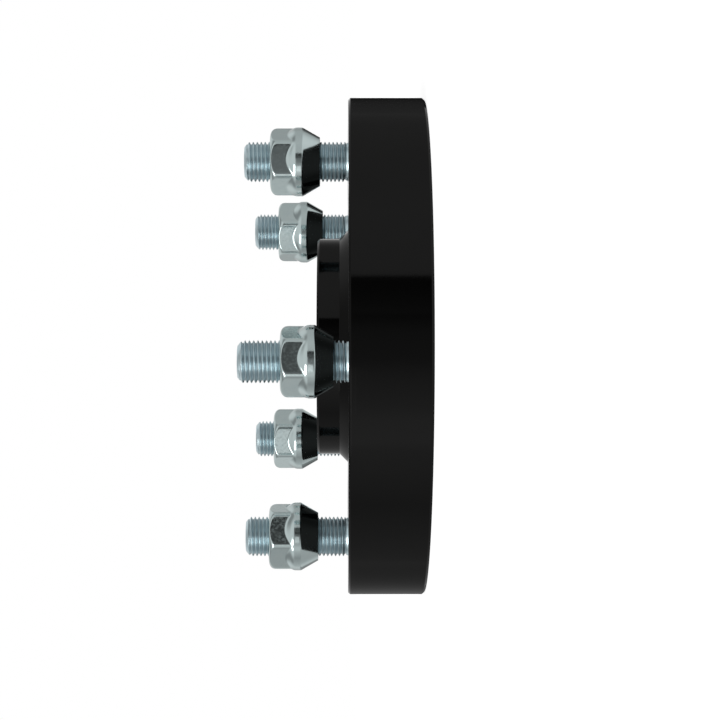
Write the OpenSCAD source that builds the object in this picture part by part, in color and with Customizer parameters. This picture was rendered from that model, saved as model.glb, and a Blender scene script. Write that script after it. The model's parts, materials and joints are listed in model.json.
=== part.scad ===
/* [Body] */
// Outside diameter of the disc
body_d = 163.5; // [150:0.5:190]
// Thickness of the disc between the hub face and the wheel face
body_t = 24.8; // [22:0.1:50]
// Chamfer on the rim at the wheel face
rim_front_chamfer = 0.6; // [0.2:0.1:2]
// Chamfer on the rim at the hub face
rim_back_chamfer = 0.8; // [0.2:0.1:2]

/* [Wheel spigot] */
// Outside diameter of the spigot that centres the wheel
spigot_d = 71.4; // [56:0.1:84]
// Height of the spigot above the wheel face
spigot_h = 10; // [6:0.1:14]
// Wall of the spigot around the centre bore
spigot_wall = 5.7; // [4:0.1:8]
// Chamfer on the spigot's outer edge
spigot_chamfer = 0.7; // [0.2:0.1:1.5]
// Size of the sloped foot between the spigot and the wheel face
spigot_foot = 2.8; // [1:0.1:4]

/* [Hub bore] */
// Diameter of the bore that fits over the hub's own spigot
hub_bore_d = 71.6; // [66:0.1:84]
// Depth of the hub bore from the hub face
hub_bore_depth = 12; // [6:0.5:16]
// Lead-in chamfer on the bore edges
bore_chamfer = 1; // [0.3:0.1:2]

/* [Bolt circle] */
// Number of wheel studs, and of holes for the hub's studs
bolt_count = 5; // [4:1:6]
// Diameter of the circle that studs and holes lie on
bolt_circle_d = 127; // [118:0.1:134]

/* [Wheel studs] */
// Outside diameter of the stud thread
thread_d = 12.7; // [11.5:0.1:14.5]
// Reach of a stud above the wheel face
stud_reach = 33; // [30:0.5:45]
// Chamfer on the stud's free end
stud_tip_chamfer = 1.5; // [0.5:0.1:2.5]
// Height of the plain neck above the wheel face
neck_h = 0.6; // [0.5:0.1:3]
// How much smaller the neck's radius is than the thread's
neck_step = 0.3; // [0.05:0.05:0.5]
// Gap around the thread in the hole through the wheel face
thread_room = 0.3; // [0.2:0.1:1]
// Length of the ribbed band that is pressed into the disc
rib_l = 11; // [8:0.5:13]
// How much larger the ribbed band's radius is than the thread's
rib_step = 1.5; // [1:0.1:2.5]
// Depth of the press bore beyond the ribs
rib_room = 1; // [0.5:0.1:2]
// Number of ribs around the band
rib_count = 40; // [30:2:60]
// Depth of the grooves between the ribs
rib_depth = 0.4; // [0.2:0.1:0.8]
// Gap between the rib tips and the hole
rib_fit = 0.02; // [0:0.01:0.05]
// Height of the stud's head
head_h = 5; // [3.5:0.5:7]
// How much larger the head's radius is than the ribbed band's
head_step = 2.2; // [1.5:0.1:3.5]
// Chamfer on the head's back edge
head_chamfer = 0.7; // [0.2:0.1:1.5]
// How far the head lies below the hub face
head_sink = 0.5; // [0.2:0.1:1.5]
// Gap around the head in its recess
head_clearance = 0.5; // [0.2:0.1:1.5]

/* [Lug nuts] */
// Width of the hexagon across its flats
nut_af = 19; // [17:0.1:22]
// Radius left at the hexagon's turned corners beyond the flats
nut_corner = 1.15; // [0.6:0.05:1.3]
// Length of a nut
nut_length = 15.8; // [14:0.1:22]
// Diameter of the collar below the hexagon
collar_d = 21.9; // [20:0.1:26]
// Length of the collar
collar_h = 2.4; // [1.5:0.1:4]
// Length of the slope from the collar up to the flats
collar_slope = 2.4; // [1:0.1:3.5]
// Full angle of the conical seat on nuts and in the disc
seat_angle = 60; // [50:1:80]
// Diameter of the small end of the nut's seat
seat_tip_d = 15.5; // [14.6:0.1:18]
// Radius of the rounded edge at the nut's outer end
nut_round = 2.4; // [1:0.1:2.6]
// Gap between the nut's bore and the stud thread
thread_clearance = 0.1; // [0.05:0.01:0.2]
// Countersink at both ends of the nut's bore
nut_countersink = 0.7; // [0.3:0.1:1]
// Height of each nut's seat end above the wheel face
nut_lift = [4.5, 9, 8.9, 10.8, 9.7]; // [2:0.1:14]
// Direction in which a flat of each nut faces
nut_turn = [11, 4, -12, 1, 23]; // [-30:1:30]

/* [Hub stud holes] */
// Gap around the hub's studs in their holes
hub_stud_clearance = 0.8; // [0.4:0.1:1.5]
// Room for a socket around the nuts in their pockets
socket_room = 3; // [2:0.1:4]
// Rim of the pocket's conical seat outside the nut's collar
seat_margin = 0.5; // [0.2:0.1:1]
// How far a seated nut lies below the wheel face
nut_sink = 2.5; // [1:0.1:4]
// Chamfer on the edges of the drilled holes
hole_chamfer = 0.6; // [0.2:0.1:1]

/* [Hidden] */
$fn = 96;
over = 1; // extra length of a cut beyond the face it starts from
body_r = body_d / 2;
spigot_r = spigot_d / 2;
centre_r = spigot_r - spigot_wall;
hub_bore_r = hub_bore_d / 2;
top_z = body_t + spigot_h;
bolt_r = bolt_circle_d / 2;
bolt_step = 360 / bolt_count;
thread_r = thread_d / 2;
neck_r = thread_r - neck_step;
rib_r = thread_r + rib_step;
head_r = rib_r + head_step;
head_seat_z = head_sink + head_h;
press_bore_z = head_seat_z + rib_l + rib_room;
neck_top_z = body_t + neck_h;
stud_top_z = body_t + stud_reach;
flat_r = nut_af / 2;
corner_r = flat_r + nut_corner;
collar_r = collar_d / 2;
seat_tip_r = seat_tip_d / 2;
nut_bore_r = thread_r + thread_clearance;
seat_h = (collar_r - seat_tip_r) / tan(seat_angle / 2);
collar_top = seat_h + collar_h;
hub_hole_r = thread_r + hub_stud_clearance;
pocket_r = collar_r + socket_room;
pocket_z = body_t - nut_sink - (nut_length - seat_h) - seat_margin / tan(seat_angle / 2);
pocket_seat_r = collar_r + seat_margin;
pocket_seat_h = (pocket_seat_r - hub_hole_r) / tan(seat_angle / 2);

// Moves a shape to a place on the bolt circle without turning it
module at_bolt(angle) {
    translate([bolt_r * cos(angle), bolt_r * sin(angle), 0]) children();
}

// Drilled cylinder with a chamfer at one end, opening upwards at z
module drill_up(r, from_z, z, chamfer) {
    translate([0, 0, from_z]) cylinder(r = r, h = z - from_z + over);
    translate([0, 0, z - chamfer]) cylinder(r1 = r, r2 = r + chamfer + over, h = chamfer + over);
}

// Drilled cylinder with a chamfer at the hub face
module drill_down(r, to_z, chamfer) {
    translate([0, 0, -over]) cylinder(r = r, h = to_z + over);
    translate([0, 0, -over]) cylinder(r1 = r + chamfer + over, r2 = r, h = chamfer + over);
}

// Disc and spigot, turned with the stepped bore
module turned_disc() {
    rotate_extrude() polygon([
        [hub_bore_r + bore_chamfer, 0],
        [body_r - rim_back_chamfer, 0],
        [body_r, rim_back_chamfer],
        [body_r, body_t - rim_front_chamfer],
        [body_r - rim_front_chamfer, body_t],
        [spigot_r + spigot_foot, body_t],
        [spigot_r, body_t + spigot_foot],
        [spigot_r, top_z - spigot_chamfer],
        [spigot_r - spigot_chamfer, top_z],
        [centre_r + bore_chamfer, top_z],
        [centre_r, top_z - bore_chamfer],
        [centre_r, hub_bore_depth],
        [hub_bore_r, hub_bore_depth],
        [hub_bore_r, bore_chamfer]
    ]);
}

// Hole for a wheel stud: head recess, press bore and neck hole
module stud_hole() {
    drill_down(head_r + head_clearance, head_seat_z, hole_chamfer);
    translate([0, 0, head_seat_z - over])
        cylinder(r = rib_r + rib_fit, h = press_bore_z - head_seat_z + over);
    drill_up(thread_r + thread_room, press_bore_z - over, body_t, hole_chamfer);
}

// Hole for one of the hub's studs: through-hole, conical seat and nut pocket
module hub_stud_hole() {
    drill_down(hub_hole_r, pocket_z, hole_chamfer);
    translate([0, 0, pocket_z - pocket_seat_h])
        cylinder(r1 = hub_hole_r, r2 = pocket_seat_r, h = pocket_seat_h);
    drill_up(pocket_r, pocket_z, body_t, hole_chamfer);
}

module spacer_body() {
    color("#1c1c1e") difference() {
        turned_disc();
        for (i = [0:bolt_count - 1]) {
            at_bolt(i * bolt_step) stud_hole();
            at_bolt((i + 0.5) * bolt_step) hub_stud_hole();
        }
    }
}

// Ribbed band of a stud, pressed into the disc
module ribbed_band() {
    linear_extrude(rib_l) polygon([
        for (k = [0:2 * rib_count - 1])
            let (r = k % 2 == 0 ? rib_r : rib_r - rib_depth, a = k * 180 / rib_count)
                [r * cos(a), r * sin(a)]
    ]);
}

module wheel_stud(i) {
    color("#b4bec8") at_bolt((i - 1) * bolt_step) {
        rotate_extrude() polygon([
            [0, head_sink],
            [head_r - head_chamfer, head_sink],
            [head_r, head_sink + head_chamfer],
            [head_r, head_seat_z],
            [neck_r, head_seat_z],
            [neck_r, neck_top_z],
            [thread_r, neck_top_z + neck_step],
            [thread_r, stud_top_z - stud_tip_chamfer],
            [thread_r - stud_tip_chamfer, stud_top_z],
            [0, stud_top_z]
        ]);
        translate([0, 0, head_seat_z]) ribbed_band();
    }
}

// Hexagon with turned corners and a rounded outer end
module nut_hexagon() {
    intersection() {
        translate([0, 0, seat_h]) rotate(30)
            cylinder(r = flat_r / cos(30), h = nut_length - seat_h, $fn = 6);
        rotate_extrude() {
            square([corner_r, nut_length - nut_round]);
            square([corner_r - nut_round, nut_length]);
            intersection() {
                translate([corner_r - nut_round, nut_length - nut_round]) circle(nut_round);
                square([corner_r, nut_length]);
            }
        }
    }
}

// Conical seat, collar and the slope up to the flats
module nut_collar() {
    rotate_extrude() polygon([
        [0, 0],
        [seat_tip_r, 0],
        [collar_r, seat_h],
        [collar_r, collar_top],
        [flat_r, collar_top + collar_slope],
        [0, collar_top + collar_slope]
    ]);
}

module nut_bore() {
    drill_down(nut_bore_r, nut_length, nut_countersink);
    drill_up(nut_bore_r, 0, nut_length, nut_countersink);
}

module lug_nut(i) {
    color("#c3c6cb") at_bolt((i - 1) * bolt_step)
        translate([0, 0, body_t + nut_lift[(i - 1) % len(nut_lift)]])
            rotate(nut_turn[(i - 1) % len(nut_turn)]) difference() {
                union() {
                    nut_hexagon();
                    nut_collar();
                }
                nut_bore();
            }
}

spacer_body();
for (i = [1:bolt_count]) {
    wheel_stud(i);
    lug_nut(i);
}
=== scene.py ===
import json
import math

import bmesh
import bpy
from mathutils import Matrix, Vector


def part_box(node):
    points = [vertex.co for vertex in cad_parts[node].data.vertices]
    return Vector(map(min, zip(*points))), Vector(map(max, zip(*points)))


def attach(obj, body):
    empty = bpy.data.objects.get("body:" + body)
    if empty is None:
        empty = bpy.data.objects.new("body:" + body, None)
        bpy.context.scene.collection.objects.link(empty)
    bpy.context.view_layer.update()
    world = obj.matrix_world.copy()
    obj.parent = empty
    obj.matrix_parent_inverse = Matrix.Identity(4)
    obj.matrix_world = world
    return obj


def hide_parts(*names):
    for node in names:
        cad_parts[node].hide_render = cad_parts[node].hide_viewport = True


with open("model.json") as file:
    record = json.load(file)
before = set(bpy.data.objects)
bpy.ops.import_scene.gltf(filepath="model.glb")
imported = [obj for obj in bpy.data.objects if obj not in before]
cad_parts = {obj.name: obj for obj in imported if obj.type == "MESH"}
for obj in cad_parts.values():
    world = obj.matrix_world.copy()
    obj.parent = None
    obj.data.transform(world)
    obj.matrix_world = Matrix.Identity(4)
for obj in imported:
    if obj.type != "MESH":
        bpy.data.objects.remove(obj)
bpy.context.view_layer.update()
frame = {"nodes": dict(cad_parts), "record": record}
mm = 0.001
mergeGap, nearGap = 1e-4 * mm, 1e-3 * mm  # how close two points count as one
scene = bpy.context.scene
mounts = {m["name"]: m for m in frame["record"]["mounts"]}
wheelFaceZ = mounts["wheel_face"]["pos_m"][2]
threadR = mounts["wheel_studs"]["dims"]["stud_r_mm"] * mm
seatTan = math.tan(math.radians(30))  # slope of the 60 degree seats on the nuts and in the disc
studNames = sorted(n for n in frame["nodes"] if n.startswith("wheel_stud"))
nutNames = sorted(n for n in frame["nodes"] if n.startswith("lug_nut"))
print("frame:", len(frame["nodes"]), "nodes")


def axisOf(node):  # where a round node's own axis stands
    low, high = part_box(node)
    return Vector(((low.x + high.x) / 2, (low.y + high.y) / 2, 0))


# node wiring

class Wire:
    def __init__(self, tree, socket=None):
        self.tree, self.socket = tree, socket

    def node(self, kind, settings=None, inputs=None, output=0):
        made = self.tree.nodes.new(kind)
        for name, value in (settings or {}).items():
            if name == "stops":  # a ramp's places and greys
                ramp = made.color_ramp
                while len(ramp.elements) < len(value):
                    ramp.elements.new(0.5)
                for element, (place, grey) in zip(ramp.elements, value):
                    element.position, element.color = place, (grey, grey, grey, 1)
            else:
                setattr(made, name, value)
        for name, value in (inputs or {}).items():
            if isinstance(value, Wire):
                self.tree.links.new(value.socket, made.inputs[name])
            else:
                made.inputs[name].default_value = value
        return Wire(self.tree, made.outputs[output])

    def out(self, name):  # another output of the same node
        return Wire(self.tree, self.socket.node.outputs[name])

    def into(self, node, name):
        self.tree.links.new(self.socket, node.inputs[name])

    def maths(self, operation, first, second=0.0):
        return self.node("ShaderNodeMath", {"operation": operation}, {0: first, 1: second})

    def __add__(self, other):
        return self.maths("ADD", self, other)

    def __sub__(self, other):
        return self.maths("SUBTRACT", self, other)

    def __rsub__(self, other):
        return self.maths("SUBTRACT", other, self)

    def __mul__(self, other):
        return self.maths("MULTIPLY", self, other)

    def __pow__(self, other):
        return self.maths("POWER", self, other)

    __radd__, __rmul__ = __add__, __mul__


def startFinish(name, constants):
    material = bpy.data.materials.new(name)
    material.use_nodes = True
    shader = material.node_tree.nodes["Principled BSDF"]
    for socket, value in constants.items():
        shader.inputs[socket].default_value = value
    return material, shader, Wire(material.node_tree)


def mixTints(wire, factor, first, second):
    return wire.node("ShaderNodeMix", {"data_type": "RGBA"}, {0: factor, 6: first, 7: second}, 2)


def grain(wire, coords, scale, detail=3.0, roughness=0.55):
    return wire.node("ShaderNodeTexNoise", None,
                     {"Vector": coords, "Scale": scale, "Detail": detail, "Roughness": roughness})


def fade(wire, value, start, end, kind="LINEAR"):  # from 0 at start to 1 at end
    return wire.node("ShaderNodeMapRange", {"interpolation_type": kind},
                     {"Value": value, "From Min": start, "From Max": end})


def bump(wire, height, strength, distance):
    return wire.node("ShaderNodeBump", None,
                     {"Height": height, "Strength": strength, "Distance": distance})


# finishes

anodisedLook = {
    "metal": 0.93, "edgeTint": (0.56, 0.56, 0.56, 1),
    "deep": (0.0185, 0.0185, 0.0185, 1), "pale": (0.0215, 0.0215, 0.021, 1),
    "roughness": 0.085, "cloudSpread": 0.04, "cutSpread": 0.04,
    "cutsPerMetre": 3000, "cutDetail": 2.0, "cutDepth": 0.004 * mm, "wallCuts": 1.37,
    "cloudScale": 45, "speckScale": 900, "speckShare": 0.1,
}


def blackAnodised():
    s = anodisedLook
    constants = {"Metallic": s["metal"], "Specular Tint": s["edgeTint"]}
    material, shader, wire = startFinish("blackAnodised", constants)
    coords = wire.node("ShaderNodeTexCoord", output="Object")
    x = wire.node("ShaderNodeSeparateXYZ", None, {"Vector": coords})
    y, z = x.out("Y"), x.out("Z")
    radius = (x * x + y * y) ** 0.5
    along = radius + z * s["wallCuts"]  # runs across the lathe's cut marks on faces and on walls
    cuts = wire.node("ShaderNodeTexNoise", {"noise_dimensions": "1D"},
                     {"W": along, "Scale": s["cutsPerMetre"], "Detail": s["cutDetail"]})
    cloud = grain(wire, coords, s["cloudScale"])
    speck = grain(wire, coords, s["speckScale"])
    mixTints(wire, cloud, s["deep"], s["pale"]).into(shader, "Base Color")
    rough = s["roughness"] + (cloud - 0.5) * s["cloudSpread"] + (cuts - 0.5) * s["cutSpread"]
    rough.into(shader, "Roughness")
    bump(wire, cuts + speck * s["speckShare"], 1.0, s["cutDepth"]).into(shader, "Normal")
    return material


# zinc plate; its darker tint for the thread's roots is painted shade and dirt
zincLook = {
    "cool": (0.57, 0.73, 0.79, 1), "warm": (0.69, 0.80, 0.82, 1), "groove": (0.45, 0.57, 0.62, 1),
    "roughness": 0.29, "spread": 0.03, "cloudScale": 260, "fineScale": 1200,
    "bumpStrength": 0.015, "bumpDepth": 0.02 * mm,
}


def zincPlate():
    s = zincLook
    material, shader, wire = startFinish("zincPlate", {"Metallic": 1.0})
    coords = wire.node("ShaderNodeTexCoord", output="Object")
    cloud = grain(wire, coords, s["cloudScale"])
    fine = grain(wire, coords, s["fineScale"])
    # painted shade and dirt: how deep each point lies in a thread root
    groove = wire.node("ShaderNodeAttribute", {"attribute_name": "groove"}, output="Fac")
    plated = mixTints(wire, cloud, s["cool"], s["warm"])
    mixTints(wire, groove, plated, s["groove"]).into(shader, "Base Color")  # painted shade and dirt: darker in the thread's roots
    rough = s["roughness"] + (cloud - 0.5) * s["spread"] + (fine - 0.5) * s["spread"]
    rough.into(shader, "Roughness")
    bump(wire, fine, s["bumpStrength"], s["bumpDepth"]).into(shader, "Normal")
    return material


nutLook = {
    "cool": (0.56, 0.67, 0.68, 1), "warm": (0.62, 0.71, 0.70, 1),
    "roughness": 0.1, "patchRoughness": 0.17, "patchStart": 0.42, "patchFull": 0.75,
    "slopeTilt": 0.2, "flatTilt": 0.05, "cloudScale": 380, "fineScale": 1100, "fineShare": 0.5,
    "bumpStrength": 0.3, "bumpDepth": 0.03 * mm,
}


def brightPlate():
    s = nutLook
    material, shader, wire = startFinish("brightPlate", {"Metallic": 1.0})
    coords = wire.node("ShaderNodeTexCoord", output="Object")
    cloud = grain(wire, coords, s["cloudScale"])
    fine = grain(wire, coords, s["fineScale"])
    patches = fade(wire, fine, s["patchStart"], s["patchFull"])
    facing = wire.node("ShaderNodeNewGeometry", output="Normal")
    tilt = wire.maths("ABSOLUTE", wire.node("ShaderNodeSeparateXYZ", None, {"Vector": facing}, "Z"))
    forged = fade(wire, tilt, s["slopeTilt"], s["flatTilt"])  # the turned slopes have no forged patches
    mixTints(wire, cloud, s["cool"], s["warm"]).into(shader, "Base Color")
    (s["roughness"] + patches * forged * s["patchRoughness"]).into(shader, "Roughness")
    bump(wire, cloud + fine * s["fineShare"], s["bumpStrength"], s["bumpDepth"]).into(shader, "Normal")
    return material


finishes = {"black_anodised": blackAnodised(), "zinc_stud": zincPlate(), "bright_nut": brightPlate()}
print("finishes:", ", ".join(finishes))


# mesh making

def soften(corners, arcSteps=4, hold=0.12 * mm):  # an outline of (r, z, corner radius), its corners as arcs
    spots = [Vector((r, z)) for r, z, _ in corners]
    outline = []
    for i, here in enumerate(spots):
        radius = corners[i][2]
        if radius == 0:
            outline.append(here)
            continue
        back, on = (spots[i - 1] - here).normalized(), (spots[i + 1] - here).normalized()
        half = back.angle(on) / 2
        reach = radius / math.tan(half)
        centre = here + (back + on).normalized() * radius / math.sin(half)
        first, last = here + back * reach - centre, here + on * reach - centre
        sweep = first.angle_signed(last)
        turns = [Matrix.Rotation(-sweep * k / arcSteps, 2) for k in range(arcSteps + 1)]
        outline.append(here + back * (reach + hold))
        outline += [centre + turn @ first for turn in turns]
        outline.append(here + on * (reach + hold))
    return outline


def lathe(outline, steps, closed=False):
    bm = bmesh.new()
    ring = [bm.verts.new((r, 0, z)) for r, z in outline]
    edges = [bm.edges.new(pair) for pair in zip(ring, ring[1:])]
    if closed:
        edges.append(bm.edges.new((ring[-1], ring[0])))
    bmesh.ops.spin(bm, geom=ring + edges, cent=(0, 0, 0), axis=(0, 0, 1),
                   angle=math.tau, steps=steps, use_merge=True)
    return bm


def join(bm, part, places=(Vector((0, 0, 0)),)):  # part goes into bm at each place
    mesh = bpy.data.meshes.new("part")
    for place in places:
        bmesh.ops.translate(part, verts=part.verts, vec=place)
        part.to_mesh(mesh)
        bm.from_mesh(mesh)
        bmesh.ops.translate(part, verts=part.verts, vec=-place)
    part.free()
    bpy.data.meshes.remove(mesh)


def closeFlat(bm, z, normal):  # fills a flat face between all open rims at one height
    rims = [e for e in bm.edges if e.is_boundary and all(abs(v.co.z - z) < nearGap for v in e.verts)]
    bmesh.ops.triangle_fill(bm, use_beauty=True, edges=rims, normal=normal)
    for rim in rims:
        rim.smooth = False


def toMesh(bm, name):
    bmesh.ops.remove_doubles(bm, verts=bm.verts, dist=mergeGap)
    bmesh.ops.recalc_face_normals(bm, faces=bm.faces)
    for face in bm.faces:
        face.smooth = True
    mesh = bpy.data.meshes.new(name)
    bm.to_mesh(mesh)
    bm.free()
    return mesh


def addPiece(mesh, slot, node):
    piece = bpy.data.objects.new(mesh.name, mesh)
    scene.collection.objects.link(piece)
    mesh.materials.append(finishes[slot])
    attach(piece, "root")
    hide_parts(node)


def addCopies(pattern, slot, places):  # the same piece at each of its places
    for node, place in places.items():
        mesh = pattern.copy()
        mesh.transform(place)
        addPiece(mesh, slot, node)
    bpy.data.meshes.remove(pattern)


# disc with its spigot, bores and holes

disc = {
    "rimFront": 0.6 * mm, "rimBack": 0.8 * mm, "spigotChamfer": 0.7 * mm, "spigotFoot": 2.8 * mm,
    "spigotWall": 5.7 * mm, "hubDepth": 12 * mm, "boreChamfer": 1 * mm, "holeChamfer": 0.6 * mm,
    "edge": 0.15 * mm, "rimLip": 0.2 * mm, "boreLip": 0.5 * mm, "holeLip": 0.4 * mm,
    "rimSteps": 288, "boreSteps": 192, "holeSteps": 72,
    "pocketR": 13.95 * mm, "pocketZ": 11.177 * mm, "seatR": 11.45 * mm,
    "recessR": 10.55 * mm, "recessZ": 5.5 * mm, "pressR": 7.87 * mm, "pressZ": 17.5 * mm,
    "neckHoleR": 6.65 * mm,
}


def rimOutline(rimR):
    s, e = disc, disc["edge"]
    return soften([
        (rimR - s["rimBack"] - e, 0, 0), (rimR - s["rimBack"], 0, e), (rimR, s["rimBack"], e),
        (rimR, wheelFaceZ - s["rimFront"], e), (rimR - s["rimFront"], wheelFaceZ, e),
        (rimR - s["rimFront"] - e - s["rimLip"], wheelFaceZ, 0)])


def spigotOutline(topZ):  # from the wheel face over the spigot and down the bore to the hub face
    s, e, c = disc, disc["edge"], disc["boreChamfer"]
    spigotR = mounts["wheel_spigot"]["dims"]["r_mm"] * mm
    hubR = mounts["hub_bore"]["dims"]["r_mm"] * mm
    boreR, footR = spigotR - s["spigotWall"], spigotR + s["spigotFoot"]
    return soften([
        (footR + s["boreLip"], wheelFaceZ, 0), (footR, wheelFaceZ, e),
        (spigotR, wheelFaceZ + s["spigotFoot"], e), (spigotR, topZ - s["spigotChamfer"], e),
        (spigotR - s["spigotChamfer"], topZ, e), (boreR + c, topZ, e), (boreR, topZ - c, e),
        (boreR, s["hubDepth"], e), (hubR, s["hubDepth"], e), (hubR, c, e), (hubR + c, 0, e),
        (hubR + c + s["boreLip"], 0, 0)])


def pocketOutline():  # nut pocket, conical seat and through-hole for a stud of the hub
    s, e, c = disc, disc["edge"], disc["holeChamfer"]
    holeR = mounts["hub_stud_holes"]["dims"]["hole_r_mm"] * mm
    seatDrop = (s["seatR"] - holeR) / seatTan
    return soften([
        (s["pocketR"] + c + s["holeLip"], wheelFaceZ, 0), (s["pocketR"] + c, wheelFaceZ, e),
        (s["pocketR"], wheelFaceZ - c, e), (s["pocketR"], s["pocketZ"], e), (s["seatR"], s["pocketZ"], e),
        (holeR, s["pocketZ"] - seatDrop, e), (holeR, c, e), (holeR + c, 0, e),
        (holeR + c + s["holeLip"], 0, 0)])


def studHoleOutline():  # neck hole, press bore and recess for the head of a wheel stud
    s, e, c = disc, disc["edge"], disc["holeChamfer"]
    return soften([
        (s["neckHoleR"] + c + s["holeLip"], wheelFaceZ, 0), (s["neckHoleR"] + c, wheelFaceZ, e),
        (s["neckHoleR"], wheelFaceZ - c, e), (s["neckHoleR"], s["pressZ"], e), (s["pressR"], s["pressZ"], e),
        (s["pressR"], s["recessZ"], e), (s["recessR"], s["recessZ"], e), (s["recessR"], c, e),
        (s["recessR"] + c, 0, e), (s["recessR"] + c + s["holeLip"], 0, 0)])


def makeDisc():
    s = disc
    _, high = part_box("spacer_body")
    bm = bmesh.new()
    join(bm, lathe(rimOutline(high.x), s["rimSteps"]))
    join(bm, lathe(spigotOutline(high.z), s["boreSteps"]))
    halfStep = Matrix.Rotation(math.pi / len(studNames), 3, "Z")
    join(bm, lathe(studHoleOutline(), s["holeSteps"]), [axisOf(n) for n in studNames])
    join(bm, lathe(pocketOutline(), s["holeSteps"]), [halfStep @ axisOf(n) for n in studNames])
    bmesh.ops.remove_doubles(bm, verts=bm.verts, dist=mergeGap)
    closeFlat(bm, wheelFaceZ, (0, 0, 1))
    closeFlat(bm, 0, (0, 0, -1))
    return toMesh(bm, "disc")


addPiece(makeDisc(), "black_anodised", "spacer_body")
print("disc made")


# wheel studs with a rolled thread

stud = {
    "pitch": 1.27 * mm, "depth": 0.78 * mm, "root": 0.20, "crest": 0.16, "flankRound": 0.5,
    "threadSteps": 48, "profile": 9, "spareTurns": 2, "coreGap": 0.3 * mm,
    "neck": 0.6 * mm, "neckStep": 0.2 * mm, "neckSlope": 0.2 * mm, "leadIn": 0.4 * mm,
    "tipH": 1.7 * mm, "tipR": 1.6 * mm, "tipCurve": 1.5,
    "headStep": 2.2 * mm, "headChamfer": 0.7 * mm, "headH": 5 * mm,
    "ribH": 11 * mm, "ribStep": 1.5 * mm, "ribDepth": 0.4 * mm, "ribs": 40, "stepsPerRib": 4,
    # the last entry here is the curve of the painted shade and dirt in the thread's roots
    "edge": 0.2 * mm, "turnEach": math.radians(137.5), "grooveShade": 2.0,
}


def within(value):  # kept between 0 and 1
    return min(max(value, 0), 1)


def threadShape(t):  # 0 in the groove to 1 on the crest, over one pitch
    ramp = within((1 - abs(2 * t - 1) - stud["root"]) / (1 - stud["root"] - stud["crest"]))
    rounded = ramp * ramp * (3 - 2 * ramp)
    return ramp + (rounded - ramp) * stud["flankRound"]


def threadRod(low, high):
    s = stud
    turn = bmesh.new()
    chain = []
    for k in range(s["profile"] + 1):
        t = k / s["profile"]
        r = threadR - s["depth"] * (1 - threadShape(t))
        chain.append(turn.verts.new((r, 0, low + (t - s["spareTurns"]) * s["pitch"])))
    edges = [turn.edges.new(pair) for pair in zip(chain, chain[1:])]
    bmesh.ops.spin(turn, geom=chain + edges, cent=(0, 0, 0), axis=(0, 0, 1), angle=math.tau,
                   steps=s["threadSteps"], dvec=(0, 0, s["pitch"] / s["threadSteps"]))
    bm = bmesh.new()
    turns = math.ceil((high - low) / s["pitch"]) + s["spareTurns"] + 1
    join(bm, turn, [Vector((0, 0, k * s["pitch"])) for k in range(turns)])
    bmesh.ops.remove_doubles(bm, verts=bm.verts, dist=nearGap)
    # painted shade and dirt: each point's depth in a thread root, which the zinc reads to darken its colour
    groove = bm.verts.layers.float.new("groove")
    for v in bm.verts:  # rounded at the free end, fading out at the neck
        past = within((v.co.z - high + s["tipH"]) / s["tipH"])
        start = within((low + s["leadIn"] - v.co.z) / s["leadIn"])
        limit = threadR - max(s["tipR"] * past ** s["tipCurve"], s["depth"] * start)
        r = v.co.xy.length
        # painted shade and dirt, stronger the deeper the point sits below the crest
        v[groove] = max((limit - r) / s["depth"], 0) ** s["grooveShade"]
        v.co.xy = v.co.xy * min(limit / r, 1)
    for z, side in ((high, 1), (low, -1)):
        everything = bm.verts[:] + bm.edges[:] + bm.faces[:]
        cut = bmesh.ops.bisect_plane(bm, geom=everything, plane_co=(0, 0, z), plane_no=(0, 0, side),
                                     clear_outer=True)["geom_cut"]
        rim = [g for g in cut if isinstance(g, bmesh.types.BMEdge)]
        bmesh.ops.edgeloop_fill(bm, edges=rim)
        for edge in rim:
            edge.smooth = False
    return bm


def shank(low, neckTop):
    s, e = stud, stud["edge"]
    neckR, ribR = threadR - s["neckStep"], threadR + s["ribStep"]
    headR, coreR = ribR + s["headStep"], threadR - s["depth"] - s["coreGap"]
    seatZ, coreTop = low + s["headH"], neckTop + s["pitch"]
    ribTop = seatZ + s["ribH"]
    bm = lathe(soften([
        (0, low, 0), (headR - s["headChamfer"], low, e), (headR, low + s["headChamfer"], e),
        (headR, seatZ, e), (ribR, seatZ, 0), (ribR, ribTop, 0), (neckR, ribTop, 0), (neckR, wheelFaceZ, e),
        (neckR - s["neckSlope"], neckTop, e / 2), (coreR, neckTop, 0), (coreR, coreTop, 0),
        (0, coreTop, 0)]), s["stepsPerRib"] * s["ribs"])
    for v in bm.verts:  # ribs along the pressed band
        if abs(v.co.xy.length - ribR) < nearGap and v.co.z > seatZ - nearGap:
            wave = abs(math.remainder(math.atan2(v.co.y, v.co.x) * s["ribs"], math.tau)) / math.pi
            v.co.xy = v.co.xy * (1 - wave * s["ribDepth"] / ribR)
    return bm


def makeStud(node):
    low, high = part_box(node)
    neckTop = wheelFaceZ + stud["neck"]
    bm = threadRod(neckTop, high.z)
    join(bm, shank(low.z, neckTop))
    return toMesh(bm, "stud")


studPlaces = {}
for index, node in enumerate(studNames):  # each with its thread at another turn
    turn = Matrix.Rotation(index * stud["turnEach"], 4, "Z")
    studPlaces[node] = Matrix.Translation(axisOf(node)) @ turn
addCopies(makeStud(studNames[0]), "zinc_stud", studPlaces)
print("studs made:", len(studPlaces))


# lug nuts

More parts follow.
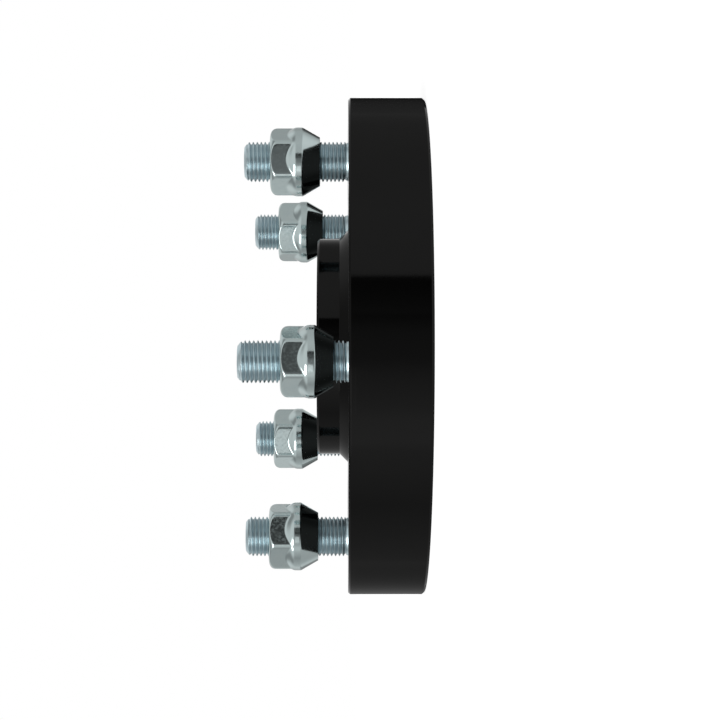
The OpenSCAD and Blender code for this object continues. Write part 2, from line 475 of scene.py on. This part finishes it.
nut = {
    "flatR": 9.5 * mm, "cornerR": 10.75 * mm, "cornerPower": 34, "round": 2.5 * mm,
    "collarR": 10.95 * mm, "collarH": 2.4 * mm, "slopeH": 2.4 * mm, "tipR": 7.75 * mm,
    "boreR": 6.45 * mm, "sink": 0.7 * mm, "sinkRim": 0.1 * mm,
    "blendHex": 0.25 * mm, "blendSeat": 0.15 * mm, "blendCollar": 0.5 * mm, "blendSlope": 0.3 * mm,
    "steps": 192, "ringGap": 0.2 * mm, "arcSteps": 14, "sharp": math.radians(35),
    "turns": [math.radians(a) for a in (11, 4, -12, 1, 23)],
}
nutSeatH = (nut["collarR"] - nut["tipR"]) / seatTan


def softMin(a, b, k):
    return min(a, b) - max(k - abs(a - b), 0) ** 2 / (4 * k)


def softMax(a, b, k):
    return -softMin(-a, -b, k)


def hexR(angle):  # distance to the hexagon's wall, with its corners rounded
    power = nut["cornerPower"]
    sides = (math.cos(angle - k * math.pi / 3) for k in range(6))
    return nut["flatR"] / sum(max(c, 0) ** power for c in sides) ** (1 / power)


def collarR(h):  # conical seat, collar and the slope up to the flats
    s = nut
    slope = s["collarR"] - (h - nutSeatH - s["collarH"]) * (s["collarR"] - s["flatR"]) / s["slopeH"]
    belt = softMin(s["tipR"] + h * seatTan, s["collarR"], s["blendSeat"])
    return softMin(belt, slope, s["blendCollar"])


def wallR(angle, h, blankR):
    s = nut
    if h < nutSeatH + s["collarH"] / 2:
        return collarR(h)
    return softMax(softMin(hexR(angle), blankR, s["blendHex"]), collarR(h), s["blendSlope"])


def makeNut(node):
    s = nut
    low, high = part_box(node)
    length = high.z - low.z
    shoulder, arcR = length - s["round"], s["cornerR"] - s["round"]
    rings = math.ceil(shoulder / s["ringGap"])
    wall = [(s["cornerR"], shoulder * k / rings) for k in range(rings)]
    arc = [math.pi / 2 * k / s["arcSteps"] for k in range(s["arcSteps"] + 1)]
    wall += [(arcR + s["round"] * math.cos(a), shoulder + s["round"] * math.sin(a)) for a in arc]
    sunk = s["boreR"] + s["sink"]
    inner = [(sunk, length), (s["boreR"], length - s["sink"]), (s["boreR"], s["sink"]), (sunk, 0)]
    bm = lathe(wall + inner, s["steps"], closed=True)
    for v in bm.verts:
        r = v.co.xy.length
        if r > sunk + s["sinkRim"]:
            v.co.xy = v.co.xy * wallR(math.atan2(v.co.y, v.co.x), v.co.z, r) / r
    for edge in bm.edges:
        if edge.calc_face_angle() > s["sharp"]:
            edge.smooth = False
    return toMesh(bm, "nut")


nutPlaces = {}
for node, angle in zip(nutNames, nut["turns"]):
    foot = axisOf(node) + Vector((0, 0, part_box(node)[0].z))
    nutPlaces[node] = Matrix.Translation(foot) @ Matrix.Rotation(angle, 4, "Z")
addCopies(makeNut(nutNames[0]), "bright_nut", nutPlaces)
print("nuts made:", len(nutPlaces))


# studio: floor, flags, tent, sky, lamps and camera

def addStage(bm, name, material):
    mesh = bpy.data.meshes.new(name)
    bm.to_mesh(mesh)
    bm.free()
    mesh.materials.append(material)
    prop = bpy.data.objects.new(name, mesh)
    scene.collection.objects.link(prop)
    return prop


def bareMaterial(name):
    material = bpy.data.materials.new(name)
    material.use_nodes = True
    tree = material.node_tree
    tree.nodes.remove(tree.nodes["Principled BSDF"])
    return material, tree.nodes["Material Output"], Wire(tree)


floor = {"half": 3.0, "drop": 0.02 * mm, "tint": 0.55, "glow": 0.8}


def makeFloor():
    s = floor
    material, output, wire = bareMaterial("floorWhite")
    seen = wire.node("ShaderNodeLightPath", output="Is Camera Ray") * s["glow"]
    matt = wire.node("ShaderNodeBsdfDiffuse", None, {"Color": (s["tint"],) * 3 + (1,)})
    glow = wire.node("ShaderNodeEmission", None, {"Strength": seen})
    white = wire.node("ShaderNodeAddShader", None, {0: matt, 1: glow})
    below = wire.node("ShaderNodeNewGeometry", output="Backfacing")  # clear when seen from underneath
    clear = wire.node("ShaderNodeBsdfTransparent")
    wire.node("ShaderNodeMixShader", None, {0: below, 1: white, 2: clear}).into(output, "Surface")
    bm = bmesh.new()
    bmesh.ops.create_grid(bm, x_segments=1, y_segments=1, size=s["half"])
    bmesh.ops.translate(bm, verts=bm.verts, vec=(0, 0, -s["drop"]))
    addStage(bm, "floor", material).visible_glossy = False  # the tent shows in the metal instead


flags = {  # dark cards for the metal to reflect: where their two ends stand, and how light each end is
    "front": {"ends": ((0.403, 0.256), (0.46, 0.14)), "levels": (0.025, 0.12), "curve": 1.5,
              "low": -0.15, "high": 0.2},
    "left": {"ends": ((-0.15, 0.09), (-0.15, 0.25)), "levels": (0.0, 0.36), "curve": 2.0,
             "low": -0.05, "high": wheelFaceZ},
    "right": {"ends": ((-0.15, -0.09), (-0.15, -0.62)), "levels": (0.05, 0.62), "curve": 0.55,
              "low": -0.05, "high": wheelFaceZ},
}


def makeFlags():
    for name, s in flags.items():
        (_, startY), (_, endY) = s["ends"]
        start, end = s["levels"]
        material, output, wire = bareMaterial(name + "Grey")
        coords = wire.node("ShaderNodeTexCoord", output="Object")
        across = wire.node("ShaderNodeSeparateXYZ", None, {"Vector": coords}, "Y")
        grey = start + fade(wire, across, startY, endY) ** s["curve"] * (end - start)
        wire.node("ShaderNodeEmission", None, {"Strength": grey}).into(output, "Surface")
        bm = bmesh.new()
        foot = bm.edges.new([bm.verts.new((x, y, s["low"])) for x, y in s["ends"]])
        raised = bmesh.ops.extrude_edge_only(bm, edges=[foot])["geom"]
        upper = [g for g in raised if isinstance(g, bmesh.types.BMVert)]
        bmesh.ops.translate(bm, verts=upper, vec=(0, 0, s["high"] - s["low"]))
        flag = addStage(bm, name + "Flag", material)
        flag.visible_camera = flag.visible_diffuse = flag.visible_shadow = False


tent = {  # grey dome that only reflections see: its ring is how light it is around the axis, from +X
    "ring": ((-180, 0.6), (-166, 0.5), (-150, 0.45), (-142, 0.5), (-130, 0.62), (-120, 0.68),
             (-105, 0.52), (-80, 0.4), (-70, 0.34), (-55, 0.45), (-42, 0.55), (-38, 0.66), (-28, 0.62),
             (-22, 0.5), (-8, 0.34), (-2, 0.22), (10, 0.18), (18, 0.06), (24.5, 0.05), (27, 0.5),
             (65, 0.55), (95, 0.5), (115, 0.49), (130, 0.42), (140, 0.38), (156, 0.52), (168, 0.6),
             (180, 0.6)),
    "over": 0.3, "overAlong": 0.72, "alongFade": (0.05, 0.5), "overFade": (0.15, 0.5),
    "under": 0.6, "underLean": 0.2, "underFade": (0.3, 0.65),
    "radius": 2.5, "open": 0.97, "around": 96, "upward": 48,
}


def makeTent():
    s = tent
    material, output, wire = bareMaterial("tentGrey")
    coords = wire.node("ShaderNodeTexCoord", output="Object")
    toward = wire.node("ShaderNodeVectorMath", {"operation": "NORMALIZE"}, {0: coords})
    x = wire.node("ShaderNodeSeparateXYZ", None, {"Vector": toward})
    y, z = x.out("Y"), x.out("Z")
    turn = wire.maths("ARCTAN2", y, x) * (1 / math.tau) + 0.5
    stops = [(angle / 360 + 0.5, level) for angle, level in s["ring"]]
    ring = wire.node("ShaderNodeValToRGB", {"stops": stops}, {0: turn})
    up = fade(wire, z, *s["overFade"], "SMOOTHSTEP")
    down = fade(wire, z * -1.0, *s["underFade"], "SMOOTHSTEP")
    along = fade(wire, wire.maths("ABSOLUTE", x), *s["alongFade"], "SMOOTHSTEP")
    top = along * (s["overAlong"] - s["over"]) + s["over"]
    bottom = y * s["underLean"] + s["under"]
    level = ring * (1 - up) * (1 - down) + up * top + down * bottom
    wire.node("ShaderNodeEmission", None, {"Strength": level}).into(output, "Surface")
    bm = bmesh.new()
    bmesh.ops.create_uvsphere(bm, u_segments=s["around"], v_segments=s["upward"], radius=s["radius"])
    behind = [f for f in bm.faces if f.calc_center_median().x < -s["radius"] * s["open"]]
    bmesh.ops.delete(bm, geom=behind, context="FACES")  # open behind the part, where the white shows
    dome = addStage(bm, "tent", material)
    dome.visible_camera = dome.visible_diffuse = dome.visible_shadow = dome.visible_transmission = False
    material.cycles.emission_sampling = "NONE"


skyLevel = 0.5  # the light it gives, while cameras and reflections see it white


def makeSky():
    world = bpy.data.worlds.new("studioSky")
    world.use_nodes = True
    world.cycles.sampling_method = "NONE"
    scene.world = world
    wire = Wire(world.node_tree)
    camera = wire.node("ShaderNodeLightPath", output="Is Camera Ray")
    mirrored = wire.maths("MAXIMUM", camera.out("Is Glossy Ray"), camera.out("Is Transmission Ray"))
    seen = wire.maths("MAXIMUM", camera, mirrored)
    sky = world.node_tree.nodes["Background"]
    sky.inputs["Color"].default_value = (1, 1, 1, 1)
    (seen * (1 - skyLevel) + skyLevel).into(sky, "Strength")


lamps = {
    "strip": {"place": (0.51, -0.26, 0.43), "size": (0.42, 0.22), "watts": 1.1},
    "card": {"place": (0.306, -0.069, 0.058), "size": (0.1, 0.06), "watts": 0.0084},
}


def makeLamps():
    aim = Vector((0, 0, wheelFaceZ))
    for name, s in lamps.items():
        data = bpy.data.lights.new(name, "AREA")
        data.shape, data.energy = "RECTANGLE", s["watts"]
        data.size, data.size_y = s["size"]
        lamp = bpy.data.objects.new(name, data)
        lamp.location = s["place"]
        lamp.rotation_euler = (aim - lamp.location).to_track_quat("-Z", "Y").to_euler()
        lamp.visible_camera = False
        scene.collection.objects.link(lamp)


view = {
    "turn": math.radians(4.32), "distance": 601.6 * mm, "above": 1.57 * mm, "drop": 1.68 * mm,
    "lens": 90.45, "sensor": 36, "shift": (0.0232, -0.0122),
}


def makeCamera():
    s = view
    out = Vector((math.cos(s["turn"]), math.sin(s["turn"]), 0))
    up = Vector((-out.y, out.x, 0))  # the picture's upright lies along the floor, with the studs to the left
    data = bpy.data.cameras.new("camera")
    data.lens, data.sensor_width = s["lens"], s["sensor"]
    data.shift_x, data.shift_y = s["shift"]
    camera = bpy.data.objects.new("camera", data)
    turned = Matrix((Vector((0, 0, -1)), up, out)).transposed().to_4x4()
    place = out * s["distance"] - up * s["drop"] + Vector((0, 0, wheelFaceZ + s["above"]))
    camera.matrix_world = Matrix.Translation(place) @ turned
    scene.collection.objects.link(camera)
    scene.camera = camera


makeFloor()
makeFlags()
makeTent()
makeSky()
makeLamps()
makeCamera()
scene.view_settings.view_transform = "Standard"
print("studio made")
